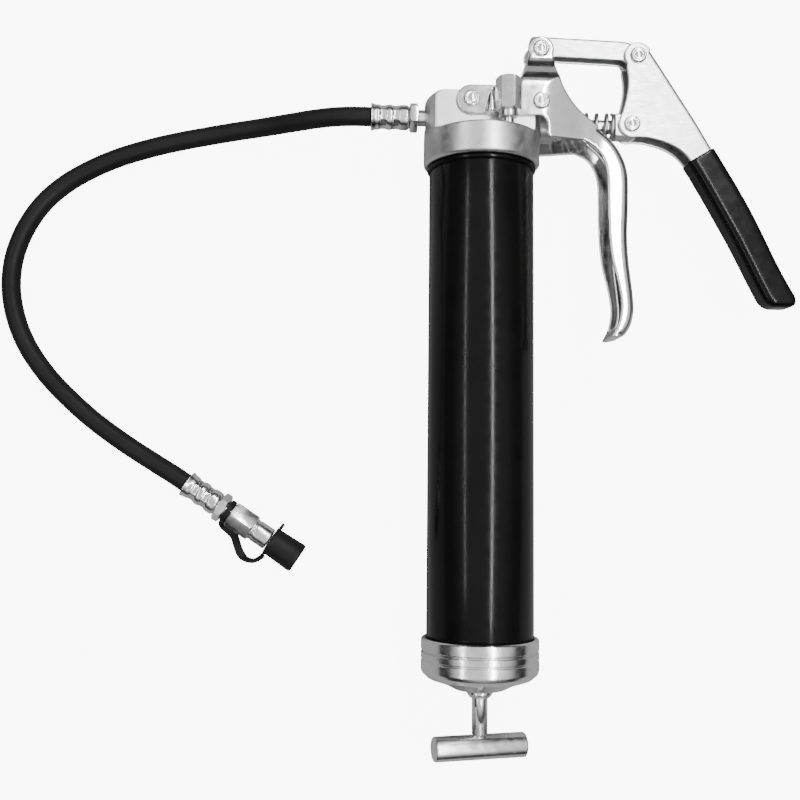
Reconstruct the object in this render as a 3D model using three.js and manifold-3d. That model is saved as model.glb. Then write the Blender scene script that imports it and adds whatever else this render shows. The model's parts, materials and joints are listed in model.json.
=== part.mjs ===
// A lever-action, pistol-grip grease gun with a whip hose, lying on its side on a bench.
//
// Millimetres. Z points up from the bench, Y runs along the barrel toward the head, and X runs
// across the barrel toward the squeeze lever. Everything is drawn around the barrel's own axis
// (x = 0, z = 0), with y = 0 at the head's lower rim. The last lines move the whole gun so that
// its origin is under the middle of its box, on the bench.

import * as THREE from 'three';
import { mergeVertices } from 'three/addons/utils/BufferGeometryUtils.js';
import Module from 'manifold-3d';

const wasm = await Module();
wasm.setup();

// ---------------------------------------------------------------- driving dimensions

const GAP = 0.3; // clearance between pieces that touch on the real gun

const barrel = { radius: 28.575, wall: 1.0, top: 10.5, bottom: -266 };
const skirt = { radius: 31.8, top: 17, ceiling: 12.5, chamfer: 2.5 };
const block = { halfWidth: 16.4, top: 38.5, corner: 5 };
const boss = { radius: 9.8, from: 18, end: 40 };
const outlet = { faceRadius: 7.5, faceX: -29, past: -40, threadRadius: 4.4 };
const feed = { radius: 2.2, y: 26, wellRadius: 3, wellX: 4 };
const rivetShank = { main: 2.5, rear: 2.2 };
const swell = { x: 3, y: 25.4, base: 3.5, tip: 0.8, length: 12.5, sunk: 0.4 };

// The linkage: pin centres in the X-Y plane.
const pins = {
  linkFront: [31.8, 65.9],
  linkRear: [86.3, 64.5],
  plunger: [82.4, 25.4],
  handleRear: [29.9, 32.5],
  handleFront: [-7.6, 32.7],
};
const plungerY = pins.plunger[1];
const plungerRadius = 3.9;
const eyePlay = 0.7; // the plunger's eye is loose on its pin, as the linkage is opened there

const plate = { thickness: 1.8, headHalf: 18.5, gripHalf: 12, earHalf: 8.4 };
const lever = { half: 6.8, wall: 1.6 };
const link = { half: 4.9, wall: 1.6 };
const grip = { half: 7.9, skin: 1.4 };

const cap = { radius: 31.3, top: -253.5, floor: -270.5, domeEnd: -281.5 };
const rod = { radius: 4.2, top: -24, bottom: -304 };
const tBar = { radius: 6.5, length: 50.6, y: -310.5, turn: THREE.MathUtils.degToRad(12) };
const follower = { y: -26, cupRadius: 27 };

const hose = { radius: 5.25, sections: 8, steps: 44 };
const outletY = 27.7;

// The coupler end of the hose lies on the bench and points down and away from the hose's loop.
const tip = { x: -159.5, y: -174, z: -23.1, angle: THREE.MathUtils.degToRad(-33.5) };

// Route of the hose's centreline, from the ferrule on the head to the ferrule on the coupler.
const hoseRoute = [
  [-61, 27.7, 0], [-70, 27.7, 0], [-81, 27.6, -1.5], [-92, 27.5, -5.5], [-103, 27.4, -11],
  [-114, 27.2, -16.5], [-126, 26.7, -21.5], [-139, 25.5, -24.8], [-154, 23, -26.3], [-171, 19.3, -26.5],
  [-187, 14.9, -26.5], [-203, 9.4, -26.5], [-218, 2.3, -26.5], [-232, -6.6, -26.5], [-244, -18, -26.5],
  [-253, -32.3, -26.5], [-258.6, -48.5, -26.5], [-259.8, -65.5, -26.5], [-256.8, -82, -26.5],
  [-250.3, -97.6, -26.5], [-240.7, -111.8, -26.5], [-229, -124.6, -26.5], [-213, -138.8, -26.5],
  [-195, -151.8, -26.2], [-177, -163.1, -25], [-167, -169.1, -23.8], [-159.8, -173.8, -23.1],
];

// ---------------------------------------------------------------- finishes

const finishes = {
  castZinc: { color: 0xb9bbbc, roughness: 0.42, metalness: 0.9 },
  polished: { color: 0xe4e6e8, roughness: 0.12, metalness: 1.0 },
  satinSteel: { color: 0xc4c6c8, roughness: 0.35, metalness: 0.95 },
  chrome: { color: 0xd9dbdc, roughness: 0.18, metalness: 1.0 },
  springSteel: { color: 0x8b8d8f, roughness: 0.35, metalness: 0.9 },
  blackPaint: { color: 0x0a0a0b, roughness: 0.18, metalness: 0.0 },
  rubber: { color: 0x17181a, roughness: 0.65, metalness: 0.0 },
  vinyl: { color: 0x0c0c0d, roughness: 0.3, metalness: 0.0 },
  brass: { color: 0xb08d4a, roughness: 0.35, metalness: 0.9 },
};

// ---------------------------------------------------------------- building blocks

function vectors(points) {
  return points.map(([x, y]) => new THREE.Vector2(x, y));
}

// Turns a closed surface into a solid, whichever way its faces were wound.
function solid(geometry) {
  const bare = geometry.clone();
  bare.deleteAttribute('normal');
  bare.deleteAttribute('uv');
  const welded = mergeVertices(bare, 1e-3);
  const points = welded.attributes.position.array;
  const index = welded.index.array;
  const triangles = [];
  let volume = 0;
  for (let i = 0; i < index.length; i += 3) {
    const [a, b, c] = [index[i], index[i + 1], index[i + 2]];
    if (a === b || b === c || c === a) continue;
    const [p, q, r] = [a, b, c].map((v) => new THREE.Vector3().fromArray(points, 3 * v));
    volume += p.dot(q.cross(r));
    triangles.push(a, b, c);
  }
  if (volume < 0) triangles.reverse();
  return new wasm.Manifold(new wasm.Mesh({
    numProp: 3,
    vertProperties: new Float32Array(points),
    triVerts: new Uint32Array(triangles),
  }));
}

function geometryOf(body) {
  const mesh = body.getMesh();
  const geometry = new THREE.BufferGeometry();
  geometry.setAttribute('position', new THREE.BufferAttribute(new Float32Array(mesh.vertProperties), 3));
  geometry.setIndex(new THREE.BufferAttribute(new Uint32Array(mesh.triVerts), 1));
  geometry.computeVertexNormals();
  return geometry;
}

const join = (first, ...others) => others.reduce((body, other) => body.add(other), first);
const cut = (first, ...others) => others.reduce((body, other) => body.subtract(other), first);
const common = (first, ...others) => others.reduce((body, other) => body.intersect(other), first);

// A turned piece about the Y axis. The profile is [radius, y] pairs that start and end on the
// axis, or that go once round the section of a ring.
function turned(profile, segments = 32) {
  const onAxis = profile[0][0] === 0 && profile[profile.length - 1][0] === 0;
  const closed = onAxis ? profile : [...profile, profile[0]];
  return solid(new THREE.LatheGeometry(vectors(closed), segments));
}

const disc = (radius, from, to, segments = 20) =>
  turned([[0, from], [radius, from], [radius, to], [0, to]], segments);

const ring = (inner, outer, from, to, segments = 24) =>
  turned([[inner, from], [outer, from], [outer, to], [inner, to]], segments);

// Turned pieces are made about Y; these lay them along X or Z instead, toward + of that axis.
const alongX = (body) => body.rotate([0, 0, -90]);
const alongZ = (body) => body.rotate([90, 0, 0]);

// A round bar or hole along Z through a pin centre, between two heights.
const acrossAt = ([x, y], radius, from, to, segments = 14) =>
  alongZ(disc(radius, from, to, segments)).translate([x, y, 0]);

const barAlongX = (radius, from, to, y, z = 0, segments = 24) =>
  alongX(disc(radius, from, to, segments)).translate([0, y, z]);

function box(size, centre) {
  return solid(new THREE.BoxGeometry(...size)).translate(centre);
}

function extruded(shape, from, to, curveSegments = 4) {
  const geometry = new THREE.ExtrudeGeometry(shape, { depth: to - from, bevelEnabled: false, curveSegments });
  return solid(geometry).translate([0, 0, from]);
}

const polygon = (points) => new THREE.Shape(vectors(points));

function hexagon(acrossFlats) {
  const corner = acrossFlats / Math.sqrt(3);
  const angles = [0, 1, 2, 3, 4, 5].map((k) => (k * Math.PI) / 3);
  return polygon(angles.map((a) => [corner * Math.cos(a), corner * Math.sin(a)]));
}

// A hexagonal bar about Y whose ends are chamfered like a nut's, with corners along +X and -X.
function hexBar(acrossFlats, from, to) {
  const corner = acrossFlats / Math.sqrt(3);
  const prism = extruded(hexagon(acrossFlats), -to, -from).rotate([-90, 0, 0]).scale([1, -1, 1]);
  const slope = 0.8;
  const envelope = turned([
    [0, from], [acrossFlats / 2, from], [corner + 0.1, from + slope],
    [corner + 0.1, to - slope], [acrossFlats / 2, to], [0, to],
  ], 18);
  return common(prism, envelope);
}

// A plate outline with rounded corners. Each corner is [x, y, distance at which rounding starts].
function roundedOutline(corners) {
  const shape = new THREE.Shape();
  const at = (i) => new THREE.Vector2(...corners[(i + corners.length) % corners.length]);
  corners.forEach(([x, y, distance], i) => {
    const corner = new THREE.Vector2(x, y);
    const before = at(i - 1).sub(corner).setLength(distance).add(corner);
    const after = at(i + 1).sub(corner).setLength(distance).add(corner);
    if (i === 0) shape.moveTo(before.x, before.y);
    else shape.lineTo(before.x, before.y);
    if (distance > 0) shape.quadraticCurveTo(x, y, after.x, after.y);
  });
  shape.closePath();
  return shape;
}

// Moves the points of a smooth edge sideways, to the right of the direction it runs in.
function offsetEdge(points, distance) {
  const curve = new THREE.SplineCurve(vectors(points));
  return points.map((_, i) => {
    const t = i / (points.length - 1);
    const place = curve.getPoint(t);
    const along = curve.getTangent(t);
    return [place.x + distance * along.y, place.y - distance * along.x];
  });
}

class Helix extends THREE.Curve {
  constructor(radius, turns, from, to) {
    super();
    Object.assign(this, { radius, turns, from, to });
  }

  getPoint(t, target = new THREE.Vector3()) {
    const angle = 2 * Math.PI * this.turns * t;
    const height = this.from + (this.to - this.from) * t;
    return target.set(this.radius * Math.cos(angle), height, this.radius * Math.sin(angle));
  }
}

function circleShape(radius, sides) {
  const angles = Array.from({ length: sides }, (_, k) => (2 * Math.PI * k) / sides);
  return polygon(angles.map((a) => [radius * Math.cos(a), radius * Math.sin(a)]));
}

// A wire bent along a curve.
function wire(curve, radius, sides, steps) {
  const settings = { extrudePath: curve, steps, bevelEnabled: false };
  return solid(new THREE.ExtrudeGeometry(circleShape(radius, sides), settings));
}

const coilSpring = ({ radius, wireRadius, turns, from, to, sides = 6, stepsPerTurn = 12 }) =>
  wire(new Helix(radius, turns, from + wireRadius, to - wireRadius), wireRadius, sides,
    Math.round(turns * stepsPerTurn));

// ---------------------------------------------------------------- the gun

const gun = new THREE.Group();
gun.name = 'grease_gun';

function add(name, body, finish, parent = gun) {
  const mesh = new THREE.Mesh(geometryOf(body), new THREE.MeshStandardMaterial(finish));
  mesh.name = name;
  parent.add(mesh);
  return mesh;
}

// ---- head casting: a threaded skirt for the barrel and a flat-sided block above it

const valve = { x: 11.2, z: 24.6, neckRadius: 4.3, hexWidth: 11.6, seat: 17.3, hexFrom: 25.8, hexTo: 42.4 };
const chamber = { radius: 3.6, from: -24.8, to: -13 };
const plungerBore = { from: -5.4, tip: 11 }; // the tip clears the port from the barrel at rest
const packing = { radius: 6.6, from: 32.7, to: 35.4 };

function headCasting() {
  const skirtBody = turned([
    [0, 0], [skirt.radius - skirt.chamfer, 0], [skirt.radius, skirt.chamfer + 1.5],
    [skirt.radius, skirt.top - 0.8], [skirt.radius - 0.8, skirt.top], [0, skirt.top],
  ], 36);
  const blockOutline = roundedOutline([
    [-skirt.radius, skirt.top - 2, 0], [skirt.radius, skirt.top - 2, 0],
    [skirt.radius, block.top, block.corner], [-skirt.radius, block.top, block.corner],
  ]);
  const blockBody = common(
    disc(skirt.radius, skirt.top - 2, block.top, 36),
    extruded(blockOutline, -block.halfWidth, block.halfWidth),
  );
  const plungerBoss = barAlongX(boss.radius, boss.from, boss.end, plungerY, 0, 20);
  const outletFace = barAlongX(outlet.faceRadius, outlet.past, outlet.faceX, outletY);
  return cut(
    join(skirtBody, blockBody, plungerBoss),
    disc(barrel.radius + GAP, -1, skirt.ceiling, 36),
    disc(feed.wellRadius, skirt.ceiling - 1, plungerY, 16).translate([feed.wellX, 0, 0]),
    barAlongX(plungerRadius + GAP, plungerBore.from, boss.end + 1, plungerY, 0, 16),
    barAlongX(packing.radius + GAP, packing.from, boss.end + 1, plungerY, 0, 16),
    barAlongX(feed.radius, chamber.to - 1, plungerBore.from + 1, feed.y, 0, 12),
    barAlongX(chamber.radius, chamber.from - 1, chamber.to, outletY, 0, 14),
    barAlongX(outlet.threadRadius + GAP, outlet.faceX - 1, chamber.from, outletY, 0, 16),
    outletFace,
    acrossAt(pins.handleFront, rivetShank.main + GAP, -20, 20),
    acrossAt(pins.handleRear, rivetShank.rear + GAP, -20, 20),
    disc(3 + GAP, 5, skirt.top + 1, 16).translate([valve.x, 0, valve.z]),
  );
}

// ---- barrel side

function barrelTube() {
  const inner = barrel.radius - barrel.wall;
  return ring(inner, barrel.radius, barrel.bottom, barrel.top, 36);
}

const barrelGasket = () => ring(24, 28.2, barrel.top + GAP, skirt.ceiling - GAP);

function endCap() {
  const shell = turned([
    [0, cap.domeEnd], [7.6, cap.domeEnd], [13.5, cap.domeEnd + 1.2], [19.6, -277.2],
    [27.8, -274.4], [30.6, -272.2], [cap.radius, cap.floor],
    [cap.radius, -261], [cap.radius - 1.3, -260.6], [cap.radius - 1.3, -259.9],
    [cap.radius, -259.5], [cap.radius, cap.top], [0, cap.top],
  ], 36);
  const socket = disc(barrel.radius + GAP, barrel.bottom - GAP, cap.top + 1, 36);
  const dish = turned([[0, -279], [13, -278.4], [26, -273.6], [26, barrel.bottom], [0, barrel.bottom]], 24);
  return cut(shell, socket, dish, disc(rod.radius + GAP, cap.domeEnd - 1, -270, 16));
}

const rodBush = () => turned([
  [rod.radius + GAP, -285], [6.2, -285], [6.8, -284.3], [6.8, cap.domeEnd - GAP],
  [rod.radius + GAP, cap.domeEnd - GAP],
], 16);

function followerCup() {
  const outer = follower.cupRadius;
  return turned([
    [5.2, follower.y - 3], [outer - 2, follower.y - 3], [outer - 1.6, follower.y - 9],
    [outer, follower.y - 9], [outer, follower.y + 9], [outer - 1.6, follower.y + 9],
    [outer - 2, follower.y], [5.2, follower.y],
  ], 24);
}

const followerPlate = () => ring(5.2, 22, follower.y - 3 - GAP - 1.6, follower.y - 3 - GAP);

function followerNut() {
  const from = follower.y + GAP;
  return cut(hexBar(14, from, from + 6.5), disc(rod.radius + GAP, from - 1, from + 8, 16));
}

const followerSpring = () => coilSpring({
  radius: 15, wireRadius: 1.2, turns: 10, from: -272.6, to: follower.y - 5.2, sides: 5, stepsPerTurn: 10,
});

function followerRod() {
  const bar = disc(rod.radius, rod.bottom + GAP, rod.top - 0.5, 16);
  const groove = ring(rod.radius - 0.8, rod.radius + 1, -268, -265, 16);
  return cut(bar, groove);
}

function tHandle() {
  const half = tBar.length / 2;
  const edge = 0.9;
  const bar = alongX(turned([
    [0, -half], [tBar.radius - edge, -half], [tBar.radius, -half + edge],
    [tBar.radius, half - edge], [tBar.radius - edge, half], [0, half],
  ], 20));
  return bar.rotate([0, (180 * tBar.turn) / Math.PI, 0]).translate([0, tBar.y, 0]);
}

// ---- fixed handle: a bent channel, two plates over the head and a web down the back

const handleBack = [
  [38.9, 62], [40.2, 50], [43.2, 41.2], [50.7, 31.3], [61, 23.3], [69.9, 15.8], [75.6, 7.6],
  [79.2, -3], [79.4, -20], [78.8, -38], [79.6, -53], [81.4, -68], [82, -78], [80.6, -86], [77.6, -91.4],
];
const handleFront = [
  [69, -93.4], [72.6, -86], [74.2, -76], [72.3, -63.5], [69.3, -51], [67.7, -36], [67.4, -18],
  [67.2, -6], [65.4, 2.8], [61, 9.6], [54.4, 13.4],
];

function handleOutline() {
  const [earX, earY] = pins.linkFront;
  const [frontX, frontY] = pins.handleFront;
  const shape = new THREE.Shape();
  shape.moveTo(...handleBack[0]);
  shape.splineThru(vectors(handleBack.slice(1)));
  shape.quadraticCurveTo(75, -94.5, 69, -93.4);
  shape.splineThru(vectors(handleFront.slice(1)));
  shape.lineTo(36, 13.2);
  shape.quadraticCurveTo(33.4, 13.2, 33.4, 15.6);
  shape.lineTo(33.4, 19.5);
  shape.quadraticCurveTo(33, 24.4, 28.4, 24.6);
  shape.lineTo(frontX, frontY - 8.1);
  shape.absarc(frontX, frontY, 8.1, -Math.PI / 2, Math.PI / 2, true);
  shape.lineTo(18, frontY + 8.1);
  shape.lineTo(19.2, 45);
  shape.lineTo(24.4, 60);
  shape.absarc(earX, earY, 7.3, Math.PI + 0.5, -0.35, true);
  shape.closePath();
  return shape;
}

// Space between two mirror-image sheets: narrow at the ears, wide over the head, and narrowing
// again from the head to the grip.
function handleEnvelope(inset) {
  const ear = plate.earHalf - inset;
  const head = plate.headHalf - inset;
  const gripHalf = plate.gripHalf - inset;
  const joggle = polygon([
    [-120, -head], [45, -head], [59, -ear], [90, -ear], [90, ear], [59, ear], [45, head], [-120, head],
  ]);
  const taper = polygon([
    [-60, -head], [34.8, -head], [41, -gripHalf - 0.6], [52, -gripHalf], [120, -gripHalf],
    [120, gripHalf], [52, gripHalf], [41, gripHalf + 0.6], [34.8, head], [-60, head],
  ]);
  return common(
    extruded(joggle, -120, 120).rotate([90, 0, 90]),
    extruded(taper, -120, 120).rotate([90, 0, 0]),
  );
}

function handleCavity() {
  const web = offsetEdge(handleBack.slice(2), plate.thickness + 0.4);
  const shape = new THREE.Shape();
  shape.moveTo(80, 46);
  shape.lineTo(web[0][0], 46);
  shape.splineThru(vectors(web.slice(0, -1)));
  shape.lineTo(68, -91);
  shape.lineTo(60, -100);
  shape.lineTo(-30, -100);
  shape.lineTo(-30, 100);
  shape.lineTo(80, 100);
  shape.closePath();
  return common(extruded(shape, -40, 40), handleEnvelope(plate.thickness));
}

function fixedHandle() {
  const sheet = common(extruded(handleOutline(), -40, 40, 3), handleEnvelope(0));
  const cone = turned([[0, 0], [swell.base, 0], [swell.tip, swell.length], [0, swell.length]], 14);
  const middle = swell.y + swell.length / 2;
  const outside = box([20, 30, 10], [swell.x, middle, plate.headHalf - swell.sunk + 4.8]);
  const stiffener = common(cone.translate([swell.x, swell.y, plate.headHalf - swell.sunk]), outside);
  const window = box([60, 21, 18], [70, 24, 0]);
  return cut(
    join(sheet, stiffener),
    handleCavity(),
    window,
    acrossAt(pins.linkFront, rivetShank.main + GAP, -30, 30),
    acrossAt(pins.handleFront, rivetShank.main + GAP, -30, 30),
    acrossAt(pins.handleRear, rivetShank.rear + GAP, -30, 30),
  );
}

// ---- link between the fixed handle's ears and the lever

function linkBar() {
  const [[ax, ay], [bx, by]] = [pins.linkFront, pins.linkRear];
  const length = Math.hypot(bx - ax, by - ay);
  const angle = Math.atan2(by - ay, bx - ax);
  const outline = roundedOutline([
    [-5.4, -5.2, 2.5], [5, -5.2, 1.5], [8, -2.6, 1], [length - 8, -2.6, 1], [length - 5, -5, 1.5],
    [length + 5, -5, 4], [length + 5, 5, 4], [length - 8, 7, 3], [-5.4, 7, 4],
  ]);
  const inside = polygon([[-12, -12], [length + 12, -12], [length + 12, 3.4], [length - 8, 5.2], [-12, 5.2]]);
  const inner = link.half - link.wall;
  const channel = cut(
    extruded(outline, -link.half, link.half),
    extruded(inside, -inner, inner),
    acrossAt([0, 0], 2.8, -20, 20),
    acrossAt([length, 0], 2.8, -20, 20),
  );
  return channel.rotate([0, 0, (180 * angle) / Math.PI]).translate([ax, ay, 0]);
}

// ---- squeeze lever: a channel with its web on the outer side, and its dipped grip

const leverOuter = [
  [93.4, 67.8], [100, 57.6], [109.5, 42.6], [118.5, 28.4], [126, 15.5], [133.7, 2.7], [143.1, -13.4],
  [151.7, -30.5], [160.4, -50.4], [166, -62.3], [169.4, -69],
];
const leverInner = [
  [156.4, -69.4], [151.8, -60.8], [141, -39.4], [130, -19.9], [121.9, -5.6], [116.2, 3.8], [110, 11],
  [101.2, 15.7], [90.9, 18.2],
];

// The lever's outline, grown by a distance all round for the grip that is dipped over it.
function leverOutline(grow = 0) {
  const [rearX, rearY] = pins.linkRear;
  const [pinX, pinY] = pins.plunger;
  const outer = offsetEdge(leverOuter, -grow);
  const inner = offsetEdge(leverInner, -grow);
  const throat = offsetEdge([[77.4, 33], [79.6, 41.5], [80.6, 50], [79.6, 58.4]], -grow);
  const shape = new THREE.Shape();
  shape.moveTo(...outer[0]);
  shape.splineThru(vectors(outer.slice(1)));
  shape.quadraticCurveTo(171.4 + grow, -73.2 - grow, 167, -73.4 - grow);
  shape.lineTo(161, -73.4 - grow);
  shape.quadraticCurveTo(158.4 - grow, -72.6 - grow, ...inner[0]);
  shape.splineThru(vectors(inner.slice(1)));
  shape.absarc(pinX, pinY, 7.4 + grow, -1.35, -3.4, true);
  shape.splineThru(vectors(throat));
  shape.absarc(rearX, rearY, 7.8 + grow, 3.8, 0.42, true);
  shape.closePath();
  return shape;
}

function leverChannel() {
  const web = offsetEdge(leverOuter, lever.wall + 0.4);
  const inside = new THREE.Shape();
  inside.moveTo(70, 120);
  inside.lineTo(web[0][0], 120);
  inside.lineTo(...web[0]);
  inside.splineThru(vectors(web.slice(1)));
  inside.lineTo(130, -120);
  inside.lineTo(70, -120);
  inside.closePath();
  const inner = lever.half - lever.wall;
  return cut(
    extruded(leverOutline(), -lever.half, lever.half, 3),
    extruded(inside, -inner, inner, 3),
    acrossAt(pins.linkRear, 2.8, -20, 20),
    acrossAt(pins.plunger, 2.8, -20, 20),
  );
}

function leverGrip() {
  const mouth = polygon([[100, -2], [113.6, 4.8], [131.5, 15.6], [140, 90], [60, 90], [60, -2]]);
  const room = lever.half + GAP;
  return cut(
    extruded(leverOutline(grip.skin), -grip.half, grip.half, 3),
    extruded(mouth, -20, 20),
    extruded(leverOutline(GAP), -room, room, 3),
  );
}

// ---- plunger

function plungerBar() {
  const [eyeX, eyeY] = pins.plunger;
  const eye = acrossAt([eyeX, eyeY], 6.6, -link.half, link.half, 24);
  const neck = barAlongX(7.6, eyeX - 8.8, eyeX - 3, plungerY, 0, 20);
  const slab = box([40, 20, 2 * link.half], [eyeX, plungerY, 0]);
  return cut(
    join(barAlongX(plungerRadius, plungerBore.tip, eyeX - 4, plungerY, 0, 20), common(join(neck, eye), slab)),
    acrossAt([eyeX, eyeY], 2.5 + eyePlay, -20, 20),
  );
}

function packingSeal() {
  const seal = ring(plungerRadius + GAP, packing.radius, packing.from + GAP, packing.to, 16);
  return alongX(seal).translate([0, plungerY, 0]);
}

function packingNut() {
  const thread = disc(packing.radius, packing.to + GAP, boss.end + 1, 20);
  const hex = hexBar(14.6, boss.end + GAP, boss.end + 5);
  const hole = disc(plungerRadius + GAP, 30, 50, 20);
  return alongX(cut(join(thread, hex), hole)).translate([0, plungerY, 0]);
}

const springWasher = () =>
  alongX(ring(plungerRadius + GAP, 8.4, boss.end + 5 + GAP, boss.end + 6.2, 20)).translate([0, plungerY, 0]);

const plungerSpring = () => alongX(coilSpring({
  radius: 6.9, wireRadius: 0.9, turns: 5.5, from: boss.end + 6.5, to: pins.plunger[0] - 8.8 - GAP,
})).translate([0, plungerY, 0]);

// ---- rivets: a shank with a low dished head at each end

function rivet([x, y], shankRadius, halfLength, headRadius = 4.5) {
  const headTop = halfLength + GAP + 1.5;
  const head = (side) => turned([
    [0, halfLength + GAP], [headRadius, halfLength + GAP], [headRadius, halfLength + GAP + 0.6],
    [headRadius - 1.1, headTop], [headRadius - 2.3, headTop - 0.3], [0, headTop - 0.3],
  ], 16).scale([1, side, 1]);
  const shank = disc(shankRadius, -halfLength - 1, halfLength + 1, 12);
  return alongZ(join(shank, head(1), head(-1))).translate([x, y, 0]);
}

// ---- air-bleed valve on the head's shoulder

function bleedValve() {
  const stem = disc(3, skirt.ceiling + 0.8, valve.seat + 1, 16);
  const neck = disc(valve.neckRadius, valve.seat, valve.hexFrom + 1);
  const hex = hexBar(valve.hexWidth, valve.hexFrom, valve.hexTo);
  return join(stem, neck, hex).translate([valve.x, 0, valve.z]);
}

// ---- outlet check valve inside the head

const checkBall = () => solid(new THREE.SphereGeometry(3, 12, 8)).translate([-16.3, outletY, 0]);

const checkSpring = () => alongX(coilSpring({
  radius: 2.4, wireRadius: 0.35, turns: 3, from: -24.5, to: -19.7, sides: 4, stepsPerTurn: 8,
})).translate([0, outletY, 0]);

// ---- hose ends. Each is drawn along its own +Y, from the hose outward.

function crimpFerrule(length) {
  const outer = 6.8;
  const crimp = length / 3;
  const profile = [[hose.radius + GAP, 0], [outer + 0.9, 0], [outer, 2.4]];
  for (const start of [0.6 * crimp, 1.6 * crimp]) {
    const waist = outer - 0.7;
    profile.push([outer, start], [waist, start + 1.4], [waist, start + 3.4], [outer, start + 4.8]);
  }
  profile.push([outer, length - 1], [outer - 1, length], [hose.radius + GAP, length]);
  return turned(profile, 20);
}

// A hex collar against the ferrule and a round stem beyond it.
function hoseFitting(collarFrom, collarTo, stemRadius, stemTo) {
  return join(hexBar(14.6, collarFrom, collarTo), disc(stemRadius, collarTo - 0.5, stemTo, 24));
}

const ferruleLength = 21;
const collar = { from: ferruleLength + GAP, to: ferruleLength + 4.6 };

// ---- coupler at the hose's free end: jaws inside a sleeve, under a rubber dust cap

const coupler = { bodyFrom: 29.6, bodyTo: 44, noseTo: 55, noseRadius: 6.2, jawTo: 68.4 };
const dust = { from: 55.4, to: 74, base: 7.9, end: 8.6 };

function couplerBody() {
  const hex = hexBar(14, coupler.bodyFrom, coupler.bodyTo);
  const nose = disc(coupler.noseRadius, coupler.bodyTo - 1, coupler.noseTo, 28);
  const bore = disc(3.6, coupler.bodyFrom + 8, coupler.noseTo + 1, 20);
  const tail = disc(3.3 + GAP, coupler.bodyFrom - 1, coupler.bodyFrom + 6.5, 20);
  const passage = disc(1.5, coupler.bodyFrom, coupler.bodyTo, 12);
  return cut(join(hex, nose), bore, tail, passage);
}

const couplerSeal = () => ring(1.4, 3.3, 46, 48.2, 20);

const couplerSpring = () => coilSpring({
  radius: 2.5, wireRadius: 0.35, turns: 4, from: 38.2, to: 45.7, sides: 4, stepsPerTurn: 8,
});

function couplerJaws() {
  const sleeve = turned([
    [3.7, coupler.noseTo + GAP], [coupler.noseRadius - 0.2, coupler.noseTo + GAP],
    [coupler.noseRadius - 0.2, coupler.jawTo - 3], [4.6, coupler.jawTo], [2.6, coupler.jawTo],
    [3.7, coupler.jawTo - 4],
  ], 18);
  const slits = [0, 60, 120].map((turn) =>
    box([20, 9, 0.8], [0, coupler.jawTo - 3, 0]).rotate([0, turn, 0]));
  return cut(sleeve, ...slits);
}

function dustCap() {
  const shell = turned([
    [coupler.noseRadius + GAP, dust.from], [dust.base, dust.from], [dust.end, dust.to - 1.2],
    [dust.end - 1.2, dust.to], [0, dust.to], [0, dust.to - 3.6], [4.9, dust.to - 3.6],
    [coupler.noseRadius + GAP, dust.to - 7],
  ], 24);
  const pullTab = box([4.5, 1.8, 3.4], [-dust.base - 1.6, dust.from + 1.4, 0]);
  return join(shell, pullTab);
}

// A collar round the fitting's neck and a flat band that loops out and back to the dust cap.
function capStrap() {
  const collarRing = ring(3.3 + GAP, 7, 26.2, 29.1, 24);
  const middle = [[6.4, 27.5], [9.1, 28.6], [9.6, 33], [10.8, 37.6], [14.6, 42.2], [17.4, 46.2],
    [17.8, 50.6], [15.6, 54.8], [12, 56.5], [9.2, 57]];
  const path = new THREE.CatmullRomCurve3(middle.map(([x, y]) => new THREE.Vector3(x, y, 0)));
  const half = { wide: 2.4, thick: 0.65 };
  const section = polygon([
    [-half.wide, -half.thick], [half.wide, -half.thick], [half.wide, half.thick], [-half.wide, half.thick],
  ]);
  const band = solid(new THREE.ExtrudeGeometry(section, { extrudePath: path, steps: 20, bevelEnabled: false }));
  return join(collarRing, band);
}

// ---------------------------------------------------------------- assembly

add('head_casting', headCasting(), finishes.castZinc);
add('barrel_tube', barrelTube(), finishes.blackPaint);
add('barrel_gasket', barrelGasket(), finishes.rubber);
add('end_cap', endCap(), finishes.chrome);
add('rod_bush', rodBush(), finishes.chrome);

add('follower_cup', followerCup(), finishes.rubber);
add('follower_plate', followerPlate(), finishes.satinSteel);
add('follower_nut', followerNut(), finishes.satinSteel);
add('follower_spring', followerSpring(), finishes.springSteel);
add('follower_rod', followerRod(), finishes.chrome);
add('t_handle', tHandle(), finishes.chrome);

add('fixed_handle', fixedHandle(), finishes.polished);
add('link', linkBar(), finishes.satinSteel);
add('lever', leverChannel(), finishes.satinSteel);
add('lever_grip', leverGrip(), finishes.vinyl);

add('link_front_pin', rivet(pins.linkFront, rivetShank.main, plate.earHalf), finishes.chrome);
add('link_rear_pin', rivet(pins.linkRear, rivetShank.main, lever.half), finishes.chrome);
add('plunger_pin', rivet(pins.plunger, rivetShank.main, lever.half), finishes.chrome);
add('handle_rear_rivet', rivet(pins.handleRear, rivetShank.rear, plate.headHalf), finishes.chrome);
add('handle_front_rivet', rivet(pins.handleFront, rivetShank.main, plate.headHalf), finishes.chrome);

add('plunger', plungerBar(), finishes.satinSteel);
add('plunger_spring', plungerSpring(), finishes.springSteel);
add('packing_seal', packingSeal(), finishes.rubber);
add('packing_nut', packingNut(), finishes.satinSteel);
add('spring_washer', springWasher(), finishes.satinSteel);

add('bleed_valve', bleedValve(), finishes.chrome);
add('check_ball', checkBall(), finishes.satinSteel);
add('check_spring', checkSpring(), finishes.springSteel);

// Head end of the hose: its +Y turned to +X, so that it runs from the hose into the head.
const inletEnd = new THREE.Group();
inletEnd.position.set(hoseRoute[0][0], outletY, 0);
inletEnd.rotation.z = -Math.PI / 2;
gun.add(inletEnd);
add('inlet_ferrule', crimpFerrule(ferruleLength), finishes.chrome, inletEnd);
add('inlet_fitting', hoseFitting(collar.from, collar.to, 4.4, 36.1), finishes.chrome, inletEnd);

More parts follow.
